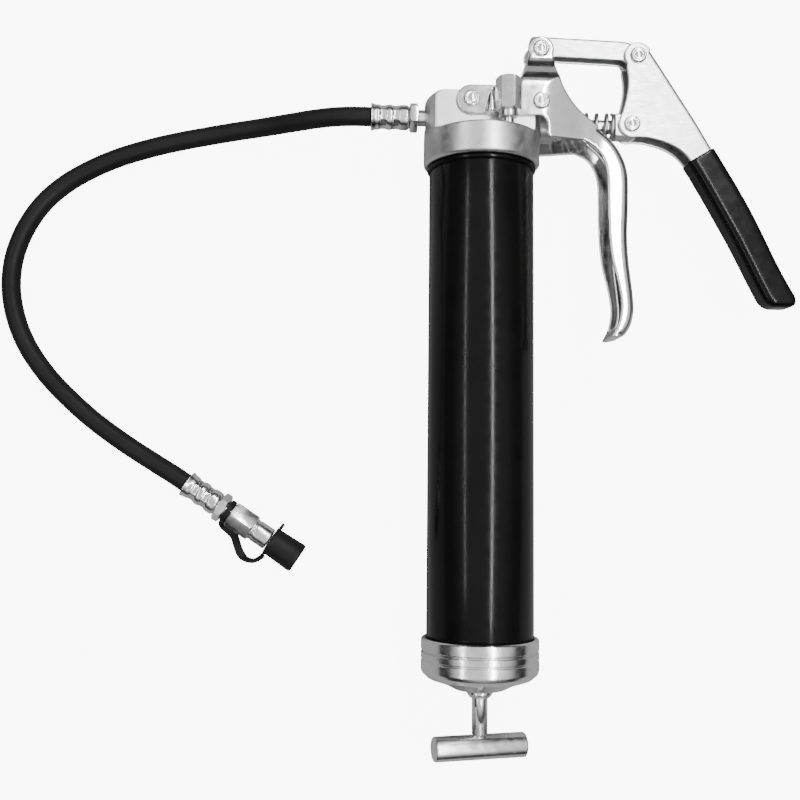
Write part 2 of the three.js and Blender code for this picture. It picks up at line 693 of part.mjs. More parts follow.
// Coupler end, whose +Y points along the hose's last stretch.
const couplerEnd = new THREE.Group();
couplerEnd.position.set(tip.x, tip.y, tip.z);
couplerEnd.rotation.z = tip.angle - Math.PI / 2;
gun.add(couplerEnd);
add('coupler_ferrule', crimpFerrule(ferruleLength), finishes.chrome, couplerEnd);
add('coupler_fitting', hoseFitting(collar.from, collar.to, 3.3, coupler.bodyFrom + 6), finishes.chrome,
  couplerEnd);
add('coupler_body', couplerBody(), finishes.chrome, couplerEnd);
add('coupler_jaws', couplerJaws(), finishes.satinSteel, couplerEnd);
add('coupler_seal', couplerSeal(), finishes.rubber, couplerEnd);
add('coupler_spring', couplerSpring(), finishes.springSteel, couplerEnd);
add('dust_cap', dustCap(), finishes.rubber, couplerEnd);
add('dust_cap_strap', capStrap(), finishes.rubber, couplerEnd);

const hosePath = new THREE.CatmullRomCurve3(hoseRoute.map((point) => new THREE.Vector3(...point)));
add('hose', wire(hosePath, hose.radius, hose.sections, hose.steps), finishes.rubber);

// ---------------------------------------------------------------- origin

// The hose and what is on it trail away from the gun, so the origin ignores them.
const trailing = ['hose', 'inlet', 'coupler', 'dust'];
const rigid = new THREE.Box3();
gun.updateMatrixWorld(true);
gun.traverse((part) => {
  const trails = trailing.some((prefix) => part.name.startsWith(prefix));
  if (part.isMesh && !trails) rigid.expandByObject(part, true);
});
const middle = rigid.getCenter(new THREE.Vector3());
gun.position.set(-middle.x, -middle.y, -rigid.min.z);

export default gun;
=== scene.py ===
# Looks for the grease gun: smooth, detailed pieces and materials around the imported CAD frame.
#
# Shapes are written in millimetres around the barrel's own axis, as the CAD source has them:
# x across the barrel toward the squeeze lever, y along it toward the head, z up from the bench,
# with y = 0 at the head's lower rim. place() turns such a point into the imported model's frame.

import json
import math

import bmesh
import bpy
import numpy as np
from mathutils import Matrix, Vector


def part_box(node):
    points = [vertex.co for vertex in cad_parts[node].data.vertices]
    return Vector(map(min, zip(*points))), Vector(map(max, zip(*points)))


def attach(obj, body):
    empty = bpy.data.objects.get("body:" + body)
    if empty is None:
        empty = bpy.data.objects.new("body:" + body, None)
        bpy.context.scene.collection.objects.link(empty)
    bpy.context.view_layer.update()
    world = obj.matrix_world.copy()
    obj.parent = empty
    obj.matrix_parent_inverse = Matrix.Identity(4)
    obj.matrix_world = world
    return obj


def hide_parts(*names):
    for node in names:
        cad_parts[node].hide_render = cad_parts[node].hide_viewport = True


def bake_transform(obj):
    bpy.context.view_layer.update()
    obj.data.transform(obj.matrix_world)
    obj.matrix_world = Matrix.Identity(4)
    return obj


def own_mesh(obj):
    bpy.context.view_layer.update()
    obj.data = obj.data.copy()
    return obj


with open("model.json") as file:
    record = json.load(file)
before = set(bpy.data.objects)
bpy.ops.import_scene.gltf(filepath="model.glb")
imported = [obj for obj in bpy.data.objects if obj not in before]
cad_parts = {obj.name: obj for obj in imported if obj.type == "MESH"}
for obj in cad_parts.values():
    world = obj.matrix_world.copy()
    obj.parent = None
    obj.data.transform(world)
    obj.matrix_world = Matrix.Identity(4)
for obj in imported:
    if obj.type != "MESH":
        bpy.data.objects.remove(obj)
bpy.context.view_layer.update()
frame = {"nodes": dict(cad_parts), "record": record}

MM = 0.001
GAP = 0.3
ROUND_STEPS = 5  # points on each rounded corner of an outline
OUTLINE_STEPS = 5  # points from one given point of an outline to the next
CORD_STEPS = 6  # the same along the hose and the strap
COIL_STEPS = 28  # points on each turn of a spring

# ---------------------------------------------------------------- sizes, mm

BARREL_TOP = 10.5
BARREL_BOTTOM = -266.0
BARREL_RADIUS = 28.575
SKIRT_RADIUS = 31.8
SKIRT_TOP = 17.0
BLOCK_TOP = 38.5
BLOCK_HALF = 16.4
PLUNGER_RADIUS = 3.9
CAP_RADIUS = 31.3
CAP_END = -281.5
ROD_RADIUS = 4.2
T_BAR = {"radius": 6.5, "length": 50.6, "y": -310.5, "turn": math.radians(12)}
SHEET = 1.8
HEAD_HALF = 18.5
GRIP_HALF = 12.0
EAR_HALF = 8.4
LEVER_HALF = 6.8
LEVER_WALL = 1.6
SLEEVE_HALF = 7.9
SLEEVE_SKIN = 1.4
LINK_HALF = 4.9
HOSE_RADIUS = 5.25
FERRULE_LENGTH = 21.0
FERRULE_RADIUS = 6.8
SHANK = 2.5  # the rivets' shank, and the thinner one at the rear of the head
REAR_SHANK = 2.2
RIVET_HEAD = 4.5
HEX_SLOPE = 0.8  # height of a hexagon's chamfer
CREASE = math.radians(19)
FINE = 160  # sides of the large round pieces

PIN_LINK_FRONT = (31.8, 65.9)
PIN_LINK_REAR = (86.3, 64.5)
PIN_PLUNGER = (82.4, 25.4)
PIN_HANDLE_REAR = (29.9, 32.5)
PIN_HANDLE_FRONT = (-7.6, 32.7)
OUTLET_Y = 27.7
PLUNGER_SEAT = 46.5  # fixed ends of the three springs: x, y and x
CAP_SEAT = -272.6
VALVE_SEAT = -24.5

COUPLER_PLACE = (-159.5, -174.0, -23.1)
COUPLER_ANGLE = math.radians(-33.5)

HOSE_ROUTE = [
    (-61, 27.7, 0), (-70, 27.7, 0), (-81, 27.6, -1.5), (-92, 27.5, -5.5), (-103, 27.4, -11),
    (-114, 27.2, -16.5), (-126, 26.7, -21.5), (-139, 25.5, -24.8), (-154, 23, -26.3),
    (-171, 19.3, -26.5), (-187, 14.9, -26.5), (-203, 9.4, -26.5), (-218, 2.3, -26.5),
    (-232, -6.6, -26.5), (-244, -18, -26.5), (-253, -32.3, -26.5), (-258.6, -48.5, -26.5),
    (-259.8, -65.5, -26.5), (-256.8, -82, -26.5), (-250.3, -97.6, -26.5),
    (-240.7, -111.8, -26.5), (-229, -124.6, -26.5), (-213, -138.8, -26.5),
    (-195, -151.8, -26.2), (-177, -163.1, -25), (-167, -169.1, -23.8), (-159.8, -173.8, -23.1),
]

# The barrel's axis and top edge give where the drawing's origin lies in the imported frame.
_barrel_low, _barrel_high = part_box("barrel_tube")
ORIGIN = Vector((
    (_barrel_low.x + _barrel_high.x) / 2,
    _barrel_high.y - BARREL_TOP * MM,
    (_barrel_low.z + _barrel_high.z) / 2,
))
TO_FRAME = Matrix.Translation(ORIGIN) @ Matrix.Scale(MM, 4)


def place(x, y, z=0.0):
    """A point of the drawing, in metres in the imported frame."""
    return TO_FRAME @ Vector((x, y, z))


# ---------------------------------------------------------------- camera

LENS_MM = 46.4
SENSOR_MM = 36.0
CAMERA_PLACE = (-72.5, -173.5, 552.0)
CAMERA_YAW = math.radians(3.0)
CAMERA_PITCH = math.radians(-4.69)
CAMERA_ROLL = math.radians(-0.54)


def make_camera():
    camera = bpy.data.objects.new("Camera", bpy.data.cameras.new("Camera"))
    bpy.context.scene.collection.objects.link(camera)
    camera.data.lens = LENS_MM
    camera.data.sensor_width = SENSOR_MM
    camera.data.clip_start = 0.01
    camera.data.clip_end = 20
    to_camera = (
        Matrix.Rotation(CAMERA_ROLL, 4, "Z")
        @ Matrix.Rotation(CAMERA_PITCH, 4, "X")
        @ Matrix.Rotation(CAMERA_YAW, 4, "Y")
    )
    camera.matrix_world = Matrix.Translation(place(*CAMERA_PLACE)) @ to_camera.transposed()
    bpy.context.scene.camera = camera


make_camera()

# ---------------------------------------------------------------- outlines


def arc(centre, radius, start, end, steps=16):
    """Points on an arc, angles in degrees."""
    turns = [math.radians(start + (end - start) * i / steps) for i in range(steps + 1)]
    return [(centre[0] + radius * math.cos(a), centre[1] + radius * math.sin(a)) for a in turns]


def smooth_line(points, per_span):
    """A smooth open line through the points, as vectors."""
    ends = [points[0], *points, points[-1]]
    line = []
    for i in range(len(points) - 1):
        a, b, c, d = (Vector(p) for p in ends[i:i + 4])
        for k in range(per_span):
            t = k / per_span
            line.append(
                0.5 * (2 * b + (c - a) * t + (2 * a - 5 * b + 4 * c - d) * t * t
                       + (3 * b - a - 3 * c + d) * t ** 3)
            )
    return [*line, Vector(points[-1])]


def spline(points):
    """A smooth open outline through the points."""
    return [*[tuple(p) for p in smooth_line(points, OUTLINE_STEPS)[:-1]], tuple(points[-1])]


def bend(start, control, end, steps=8):
    """A quadratic curve from start to end."""
    a, b, c = Vector(start), Vector(control), Vector(end)
    steps_at = [i / steps for i in range(steps + 1)]
    return [tuple((1 - t) ** 2 * a + 2 * t * (1 - t) * b + t * t * c) for t in steps_at]


def offset(points, distance):
    """The line moved sideways, to the right of the direction it runs in."""
    moved = []
    for i, point in enumerate(points):
        before = Vector(points[max(i - 1, 0)])
        after = Vector(points[min(i + 1, len(points) - 1)])
        along = (after - before).normalized()
        moved.append((point[0] + distance * along.y, point[1] - distance * along.x))
    return moved


def rounded(points, radius, closed=True):
    """An outline with each corner replaced by a small curve that starts at most radius away."""
    count = len(points)
    line = []
    for i, point in enumerate(points):
        if not closed and i in (0, count - 1):
            line.append(tuple(point))
            continue
        here, before, after = Vector(point), Vector(points[i - 1]), Vector(points[(i + 1) % count])
        cut = min(radius, (before - here).length * 0.45, (after - here).length * 0.45)
        start = here + (before - here).normalized() * cut
        end = here + (after - here).normalized() * cut
        line += bend(start, here, end, ROUND_STEPS)
    return line


# ---------------------------------------------------------------- meshes


def make_object(name, mesh):
    obj = bpy.data.objects.new(name, mesh)
    bpy.context.scene.collection.objects.link(obj)
    return obj


def mesh_from(name, build):
    """A mesh that build(bm) draws in millimetres."""
    bm = bmesh.new()
    build(bm)
    bmesh.ops.remove_doubles(bm, verts=bm.verts, dist=SEAM)
    bmesh.ops.recalc_face_normals(bm, faces=bm.faces)
    mesh = bpy.data.meshes.new(name)
    bm.to_mesh(mesh)
    bm.free()
    mesh.shade_smooth()
    return mesh


VOXEL = 0.42  # size of an even remesh's cells
RIM_SMOOTHING = 4
WIRE_TIP = 0.55  # a wire's radius at its tips, as a share
SEAM = 0.0005  # points closer than this are one point
CRACK = 0.002  # widest hair crack that a boolean leaves

# Lathe axes: the profile's height runs along the named axis.
ALONG_Y = Matrix.Identity(4)
ALONG_X = Matrix.Rotation(math.radians(-90), 4, "Z")
ALONG_Z = Matrix.Rotation(math.radians(90), 4, "X")


def turned(bm, profile, at=(0, 0, 0), turn=ALONG_Y, sides=96, dent=None):
    """Turns (radius, height) points about the height axis. A closed profile makes a ring.

    dent(radius, height, angle) may press a radius in at some angles.
    """
    matrix = Matrix.Translation(at) @ turn
    dent = dent or (lambda radius, height, angle: radius)
    rings = []
    for radius, height in profile:
        if radius < 1e-6:
            rings.append([bm.verts.new(matrix @ Vector((0, height, 0)))])
            continue
        angles = [2 * math.pi * k / sides for k in range(sides)]
        radii = [dent(radius, height, a) for a in angles]
        rings.append([
            bm.verts.new(matrix @ Vector((r * math.cos(a), height, r * math.sin(a))))
            for r, a in zip(radii, angles)
        ])
    closes = profile[0][0] > 1e-6 and profile[-1][0] > 1e-6
    pairs = list(zip(rings, rings[1:] + rings[:1])) if closes else list(zip(rings, rings[1:]))
    for low, high in pairs:
        for k in range(sides):
            n = (k + 1) % sides
            corners = [low[k % len(low)], low[n % len(low)], high[n % len(high)], high[k % len(high)]]
            unique = list(dict.fromkeys(corners))
            if len(unique) > 2:
                bm.faces.new(unique)


def prism(bm, outline, low, high, turn=None):
    """A plate with the outline in x and y, from z = low to z = high."""
    floor = [bm.verts.new((x, y, low)) for x, y in outline]
    roof = [bm.verts.new((x, y, high)) for x, y in outline]
    bm.faces.new(floor[::-1])
    bm.faces.new(roof)
    for i in range(len(outline)):
        n = (i + 1) % len(outline)
        bm.faces.new([floor[i], floor[n], roof[n], roof[i]])
    if turn is not None:
        bmesh.ops.transform(bm, matrix=turn, verts=[*floor, *roof])


def swept(bm, path, radius, sides):
    """A round wire with tapered tips along a list of points, its frame carried along with it."""
    points = [Vector(p) for p in path]
    side = None
    rings = []
    for i, point in enumerate(points):
        along = (points[min(i + 1, len(points) - 1)] - points[max(i - 1, 0)]).normalized()
        if side is None:
            side = along.orthogonal().normalized()
        side = (side - along * side.dot(along)).normalized()
        across = along.cross(side)
        width = radius * (WIRE_TIP if i in (0, len(points) - 1) else 1.0)
        rings.append([
            bm.verts.new(point + width * (math.cos(a) * side + math.sin(a) * across))
            for a in (2 * math.pi * k / sides for k in range(sides))
        ])
    for low, high in zip(rings, rings[1:]):
        for k in range(sides):
            n = (k + 1) % sides
            bm.faces.new([low[k], low[n], high[n], high[k]])
    bm.faces.new(rings[0][::-1])
    bm.faces.new(rings[-1])


def apply_modifiers(obj):
    """Replaces the mesh by what its modifiers make of it."""
    graph = bpy.context.evaluated_depsgraph_get()
    made = bpy.data.meshes.new_from_object(obj.evaluated_get(graph))
    obj.modifiers.clear()
    obj.data = made
    obj.data.shade_smooth()


def bevelled(obj, width, angle, segments):
    modifier = obj.modifiers.new("edge", "BEVEL")
    modifier.width = width
    modifier.segments = segments
    modifier.limit_method = "ANGLE"
    modifier.angle_limit = math.radians(angle)
    modifier.harden_normals = False
    apply_modifiers(obj)
    return obj


def helper(build):
    """A temporary solid for a boolean."""
    return make_object("helper", mesh_from("helper", build))


def combine(obj, operation, *others):
    for other in others:
        modifier = obj.modifiers.new("cut", "BOOLEAN")
        modifier.operation = operation
        modifier.solver = "EXACT"
        modifier.object = other
        apply_modifiers(obj)
        bpy.data.objects.remove(other)
        merged(obj)
    return obj


def merged(obj):
    """Closes the hair cracks that a boolean leaves."""
    bm = bmesh.new()
    bm.from_mesh(obj.data)
    bmesh.ops.remove_doubles(bm, verts=bm.verts, dist=CRACK)
    bmesh.ops.dissolve_degenerate(bm, edges=bm.edges, dist=CRACK)
    bm.to_mesh(obj.data)
    bm.free()


def softened(obj, voxel, rounds):
    """Remeshes the solid evenly and rounds its edges off."""
    remesh = obj.modifiers.new("even", "REMESH")
    remesh.mode = "VOXEL"
    remesh.voxel_size = voxel
    remesh.use_smooth_shade = True
    smooth = obj.modifiers.new("round", "SMOOTH")
    smooth.factor = 0.5
    smooth.iterations = rounds
    apply_modifiers(obj)


RIM_NEAR = 0.3  # closer to an outline than this, its own normal is the way in
RIM_ABOVE = 0.4  # how far past a rim a point may lie and still be bent
RIM_OUTSIDE = 1.0


def nearest_on(outline, radii, points):
    """For each point: nearest place on the closed outline, way in from there, depth, and radius wanted."""
    starts = np.array(outline, float)
    ends = np.roll(starts, -1, axis=0)
    area = np.sum(starts[:, 0] * ends[:, 1] - ends[:, 0] * starts[:, 1])
    nearest = np.zeros_like(points)
    inward = np.zeros_like(points)
    away = np.full(len(points), np.inf)
    radius = np.zeros(len(points))
    for start, end, wanted in zip(starts, ends, radii):
        along = end - start
        length = np.hypot(*along)
        if length < 1e-6:
            continue
        share = np.clip((points - start) @ along / length ** 2, 0, 1)
        place_on = start + share[:, None] * along
        gap = np.linalg.norm(points - place_on, axis=1)
        closer = gap < away
        nearest[closer] = place_on[closer]
        inward[closer] = np.sign(area) * np.array([-along[1], along[0]]) / length
        away[closer] = gap[closer]
        radius[closer] = wanted
    side = np.where(np.sum((points - nearest) * inward, axis=1) < 0, -1.0, 1.0)
    far = away > RIM_NEAR
    inward[far] = ((points - nearest) * (side / np.maximum(away, 1e-9))[:, None])[far]
    return nearest, inward, away * side, radius


def round_rims(obj, outline, radii, half):
    """Bends the square rims of a plate or channel into round ones, as thick as before.

    The rims run along the outline at z = half and z = -half, which half(x, y) gives. Squares
    around the centre line of a rim become circles, so a sheet keeps its thickness in the bend.
    """
    count = len(obj.data.vertices)
    flat = np.zeros(count * 3, np.float32)
    obj.data.vertices.foreach_get("co", flat)
    points = flat.reshape(-1, 3).astype(float)
    nearest, inward, distance, radius = nearest_on(outline, radii, points[:, :2])
    height = np.abs(points[:, 2])
    limit = half(points[:, 0], points[:, 1])
    a = radius - distance
    b = height - (limit - radius)
    bends = (a > 0) & (b > 0) & (height < limit + RIM_ABOVE) & (distance > -RIM_OUTSIDE)
    share = np.ones(count)
    share[bends] = np.maximum(a, b)[bends] / np.hypot(a, b)[bends]
    depth = np.where(bends, radius - a * share, distance)
    points[:, :2] = np.where(bends[:, None], nearest + inward * depth[:, None], points[:, :2])
    raised = np.sign(points[:, 2]) * (limit - radius + b * share)
    points[:, 2] = np.where(bends, raised, points[:, 2])
    obj.data.vertices.foreach_set("co", points.astype(np.float32).ravel())
    obj.data.update()


def smoothed(obj, rounds):
    smooth = obj.modifiers.new("smooth", "SMOOTH")
    smooth.factor = 0.5
    smooth.iterations = rounds
    apply_modifiers(obj)


# ---------------------------------------------------------------- materials


class Nodes:
    """A short way to write a node tree."""

    def __init__(self, name):
        self.material = bpy.data.materials.new(name)
        self.material.use_nodes = True
        self.tree = self.material.node_tree
        self.shader = self.tree.nodes["Principled BSDF"]

    def add(self, kind, inputs=None, **settings):
        node = self.tree.nodes.new(kind)
        for key, value in settings.items():
            setattr(node, key, value)
        for key, value in (inputs or {}).items():
            if isinstance(value, bpy.types.NodeSocket):
                self.tree.links.new(value, node.inputs[key])
            else:
                node.inputs[key].default_value = value
        return node

    def place(self, scale=(1, 1, 1)):
        """Object coordinates in metres, stretched by scale."""
        coordinates = self.add("ShaderNodeTexCoord").outputs["Object"]
        return self.add("ShaderNodeMapping", {"Vector": coordinates, "Scale": scale}).outputs[0]

    def noise(self, scale, detail=4, roughness=0.55, stretch=(1, 1, 1)):
        return self.add("ShaderNodeTexNoise", {
            "Vector": self.place(stretch), "Scale": scale, "Detail": detail, "Roughness": roughness,
        }).outputs["Fac"]

    def ramp(self, factor, low, high, from_value=0.3, to_value=0.7):
        """Maps a factor from one range to another, clamped."""
        return self.add("ShaderNodeMapRange", {
            "Value": factor, "From Min": from_value, "From Max": to_value,
            "To Min": low, "To Max": high,
        }).outputs[0]

    def mix(self, factor, first, second):
        node = self.add("ShaderNodeMix", data_type="RGBA")
        for socket, value in ((node.inputs[0], factor), (node.inputs[6], first), (node.inputs[7], second)):
            if isinstance(value, bpy.types.NodeSocket):
                self.tree.links.new(value, socket)
            else:
                socket.default_value = value
        return node.outputs[2]

    def edges(self, sharp=1.0):
        """1 on convex edges, 0 elsewhere, from the mesh's pointiness."""
        pointiness = self.add("ShaderNodeNewGeometry").outputs["Pointiness"]
        return self.ramp(pointiness, 0.0, sharp, 0.52, 0.62)

    def bump(self, height, strength, distance):
        return self.add("ShaderNodeBump", {
            "Height": height, "Strength": strength, "Distance": distance * MM,
        }).outputs["Normal"]

    def join(self, socket, value):
        if isinstance(value, bpy.types.NodeSocket):
            self.tree.links.new(value, self.shader.inputs[socket])
        else:
            self.shader.inputs[socket].default_value = value


METAL_CLOUDS = 60  # scales of the noise that varies tone and gloss
METAL_SPOTS = 240
COAT_DUST = 35
COAT_SPOTS = 170
WORN_LIGHTER = 1.15  # bare metal on worn edges against the plain surface
WORN_MOST = 0.95
GRAIN_DEPTH = 0.05
DUST_LIGHTER = 1.9  # dusty patches of a black coat
RUBBED_LIGHTER = 4  # rubbed edges of a black coat


def grey(value):
    return (value, value, value, 1)


def metal(name, light, dark, rough, rough_spread, grain, grain_strength, stretch=(1, 1, 1)):
    """Bare or plated metal: cloudy tone, uneven roughness and a fine grain."""
    nodes = Nodes(name)
    clouds = nodes.noise(METAL_CLOUDS, detail=6)
    fine = nodes.noise(grain, detail=3, roughness=0.7, stretch=stretch)
    tone = nodes.mix(nodes.ramp(clouds, 0, 1), grey(dark), grey(light))
    worn = nodes.edges(0.7)
    nodes.join("Base Color", nodes.mix(worn, tone, grey(min(light * WORN_LIGHTER, WORN_MOST))))
    nodes.join("Metallic", 1.0)
    spots = nodes.ramp(nodes.noise(METAL_SPOTS, detail=8, stretch=stretch), rough, rough + rough_spread)
    nodes.join("Roughness", spots)
    nodes.join("Normal", nodes.bump(fine, grain_strength, GRAIN_DEPTH))
    return nodes.material


def black_coat(name, tone, rough, rough_spread, texture, strength, depth, specular):
    """Black paint, vinyl or rubber: dusty tone, uneven gloss and a grain of the given size."""
    nodes = Nodes(name)
    dust = nodes.noise(COAT_DUST, detail=8, roughness=0.65)
    cloudy = nodes.mix(nodes.ramp(dust, 0, 1), grey(tone), grey(tone * DUST_LIGHTER))
    nodes.join("Base Color", nodes.mix(nodes.edges(0.6), cloudy, grey(tone * RUBBED_LIGHTER)))
    nodes.join("Roughness", nodes.ramp(nodes.noise(COAT_SPOTS, detail=7), rough, rough + rough_spread))
    nodes.join("Normal", nodes.bump(nodes.noise(texture, detail=4), strength, depth))
    nodes.join("Specular IOR Level", specular)
    return nodes.material


MATERIALS = {
    "cast": metal("cast_metal", 0.66, 0.54, 0.30, 0.14, 900, 0.25),
    "polished": metal("polished_metal", 0.86, 0.74, 0.10, 0.10, 500, 0.12),
    "satin": metal("satin_steel", 0.70, 0.58, 0.26, 0.14, 700, 0.22, stretch=(1, 3, 1)),
    "zinc": metal("zinc_plate", 0.80, 0.66, 0.14, 0.14, 800, 0.15),
    "spring": metal("spring_steel", 0.50, 0.36, 0.26, 0.14, 1200, 0.2),
    "paint": black_coat("black_paint", 0.002, 0.12, 0.10, 700, 0.05, 0.02, specular=0.13),
    "rubber": black_coat("rubber", 0.005, 0.42, 0.16, 1400, 0.35, 0.05, specular=0.13),
    "vinyl": black_coat("black_vinyl", 0.002, 0.16, 0.10, 420, 0.04, 0.03, specular=0.15),
}
SLOTS = {
    "cast": "cast_metal", "polished": "polished_metal", "satin": "satin_steel", "zinc": "zinc_plate",
    "spring": "spring_steel", "paint": "black_paint", "rubber": "rubber", "vinyl": "black_vinyl",
}


def dress(obj, body, look, *nodes):
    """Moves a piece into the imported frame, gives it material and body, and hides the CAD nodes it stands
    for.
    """
    obj.data.transform(TO_FRAME)
    obj.data.materials.clear()
    obj.data.materials.append(MATERIALS[look])
    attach(obj, body)
    if nodes:
        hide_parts(*nodes)
    return obj


def piece(name, build, body, look, *nodes):
    return dress(make_object(name, mesh_from(name, build)), body, look, *nodes)


# ---------------------------------------------------------------- hose


def make_hose():
    curve = bpy.data.curves.new("hose", "CURVE")
    curve.dimensions = "3D"
    curve.bevel_depth = HOSE_RADIUS * MM
    curve.bevel_resolution = 12
    curve.use_fill_caps = True
    line = smooth_line(HOSE_ROUTE, CORD_STEPS)
    points = curve.splines.new("POLY").points
    points.add(len(line) - 1)
    for point, target in zip(points, line):
        point.co = (*place(*target), 1)
    obj = make_object("hose_line", curve)
    obj.data.materials.append(MATERIALS["rubber"])
    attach(obj, "gun")
    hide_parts("hose")
    return obj


hose = make_hose()

# ---------------------------------------------------------------- head

HANDLE_BACK = [
    (38.9, 62), (40.2, 50), (43.2, 41.2), (50.7, 31.3), (61, 23.3), (69.9, 15.8), (75.6, 7.6),
    (79.2, -3), (79.4, -20), (78.8, -38), (79.6, -53), (81.4, -68), (82, -78), (80.6, -86),
    (77.6, -91.4),
]
HANDLE_FRONT = [
    (69, -93.4), (72.6, -86), (74.2, -76), (72.3, -63.5), (69.3, -51), (67.7, -36), (67.4, -18),
    (67.2, -6), (65.4, 2.8), (61, 9.6), (54.4, 13.4),
]
LEVER_OUTER = [
    (93.4, 67.8), (100, 57.6), (109.5, 42.6), (118.5, 28.4), (126, 15.5), (133.7, 2.7),
    (143.1, -13.4), (152, -30.5), (161.2, -50), (167.4, -61.8), (171.6, -69),
]
LEVER_INNER = [
    (155.2, -68.2), (150.8, -59.6), (140.6, -39.2), (130, -19.9), (121.9, -5.6), (116.2, 3.8),
    (110, 11), (101.2, 15.7), (90.9, 18.2),
]
LEVER_THROAT = [(77.4, 33), (79.6, 41.5), (80.6, 50), (79.6, 58.4)]


def bore(centre, radius, half=30, sides=48):
    """A cutter across the gun, along z."""
    def build(bm):
        turned(bm, [(0, -half), (radius, -half), (radius, half), (0, half)],
               at=(*centre, 0), turn=ALONG_Z, sides=sides)
    return helper(build)


def drilled(y, *steps):
    """A stepped cutter along x at height y: each step is (x, radius from there on), the last ends it."""
    profile = [(0, steps[0][0])]
    for (start, radius), (end, _) in zip(steps, steps[1:]):
        profile += [(radius, start), (radius, end)]
    profile.append((0, steps[-1][0]))
    return helper(lambda bm: turned(bm, profile, at=(0, y, 0), turn=ALONG_X, sides=54))


def make_head():
    skirt = [
        (0, 0), *rounded([(SKIRT_RADIUS - 1.4, 0), (SKIRT_RADIUS, 1.4)], 0.5, closed=False),
        *arc((SKIRT_RADIUS - 1.2, SKIRT_TOP - 1.2), 1.2, 0, 90, 6), (0, SKIRT_TOP),
    ]
    block = [
        (-SKIRT_RADIUS - 5, SKIRT_TOP - 3), (SKIRT_RADIUS + 5, SKIRT_TOP - 3),
        (SKIRT_RADIUS + 5, BLOCK_TOP + 5), (-SKIRT_RADIUS - 5, BLOCK_TOP + 5),
    ]
    head = helper(lambda bm: turned(bm, skirt, sides=FINE))
    body = helper(lambda bm: prism(bm, block, -BLOCK_HALF, BLOCK_HALF))
    crown = [
        (0, SKIRT_TOP - 4), (SKIRT_RADIUS - 0.1, SKIRT_TOP - 4),
        *arc((SKIRT_RADIUS - 4.6, BLOCK_TOP - 4.5), 4.5, 0, 90, 10), (0, BLOCK_TOP),
    ]
    combine(body, "INTERSECT", helper(lambda bm: turned(bm, crown, sides=FINE)))
    knob = [(0, 18), (9.8, 18), (9.8, 39.4), (9.2, 40), (0, 40)]
    boss = helper(lambda bm: turned(bm, knob, at=(0, PIN_PLUNGER[1], 0), turn=ALONG_X, sides=64))
    well = [(0, -1), (BARREL_RADIUS + GAP, -1), (BARREL_RADIUS + GAP, 12.5), (0, 12.5)]
    combine(head, "UNION", body, boss)
    combine(
        head, "DIFFERENCE",
        helper(lambda bm: turned(bm, well, sides=FINE)),
        drilled(PIN_PLUNGER[1] + 0.01, (-5.4, PLUNGER_RADIUS + GAP), (32.7, 6.9), (41, 0)),
        drilled(OUTLET_Y + 0.01, (-40, 7.5), (-29, 4.7), (-24.8, 3.6), (-13, 0)),
        bore(PIN_HANDLE_FRONT, SHANK + GAP),
        bore(PIN_HANDLE_REAR, REAR_SHANK + GAP),
    )
    softened(head, VOXEL, 10)
    head.name = "head_body"
    dress(head, "gun", "cast", "head_casting")


make_head()

# ---------------------------------------------------------------- barrel and its cap


def make_barrel():
    inner = BARREL_RADIUS - 1.0
    profile = [
        (inner, BARREL_BOTTOM), (BARREL_RADIUS - 0.2, BARREL_BOTTOM), (BARREL_RADIUS, BARREL_BOTTOM + 0.3),
        (BARREL_RADIUS, BARREL_TOP - 0.3), (BARREL_RADIUS - 0.2, BARREL_TOP), (inner, BARREL_TOP),
    ]
    piece("barrel_shell", lambda bm: turned(bm, profile, sides=FINE), "gun", "paint", "barrel_tube")
    bead = arc((BARREL_RADIUS, -1.6), 1.2, -90, 90, 12) + [
        (BARREL_RADIUS - 0.3, -0.4), (BARREL_RADIUS - 0.3, -2.8)]
    piece("barrel_bead", lambda bm: turned(bm, bead, sides=FINE), "gun", "paint")


def make_cap():
    r = CAP_RADIUS
    wall = [(r - 0.9, -253.5), (r, -254.4)]
    grooves = []
    for top, depth in ((-259.6, 0.9), (-264.2, 0.45)):
        grooves += [(r, top), (r - depth, top - 0.35), (r - depth, top - 0.95), (r, top - 1.3)]
    outer = rounded([
        (BARREL_RADIUS + GAP, -253.5), *wall, *grooves, (r, -270.2), (r - 0.8, -272.0),
        (27.8, -274.4), (19.6, -277.2), (13.5, -280.3), (7.6, CAP_END), (ROD_RADIUS + GAP, CAP_END),
    ], 0.45, closed=False)
    inside = [
        (ROD_RADIUS + GAP, -279), (13, -278.4), (26, -273.6), (26, -266.3),
        (BARREL_RADIUS + GAP, -266.3),
    ]
    piece("cap_shell", lambda bm: turned(bm, [*outer, *inside], sides=FINE), "gun", "zinc", "end_cap")
    bush = rounded([(ROD_RADIUS + GAP, -285), (5.2, -285), (6.8, -283), (6.8, CAP_END - 0.02),
                    (ROD_RADIUS + GAP, CAP_END - 0.02)], 0.4)
    piece("bush_ring", lambda bm: turned(bm, bush, sides=64), "gun", "zinc", "rod_bush")


def make_rod():
    low, high = -304 + GAP, -24.5
    rod = [(0, low), (ROD_RADIUS, low), (ROD_RADIUS, -268), (3.4, -267.6), (3.4, -265.4),
           (ROD_RADIUS, -265), (ROD_RADIUS, high - 0.8), (3.4, high), (0, high)]
    piece("rod_bar", lambda bm: turned(bm, rod, sides=64), "rod_and_handle", "zinc", "follower_rod")
    half = T_BAR["length"] / 2
    r = T_BAR["radius"]
    side = rounded([(1.0, -half), (r, -half), (r, half), (1.0, half)], 1.1, closed=False)
    bar = [(0, -half), *side, (0, half)]
    turn = Matrix.Rotation(T_BAR["turn"], 4, "Y") @ ALONG_X
    piece("t_bar", lambda bm: turned(bm, bar, at=(0, T_BAR["y"], 0), turn=turn, sides=80),
          "rod_and_handle", "zinc", "t_handle")


make_barrel()
make_cap()
make_rod()

# ---------------------------------------------------------------- fixed handle


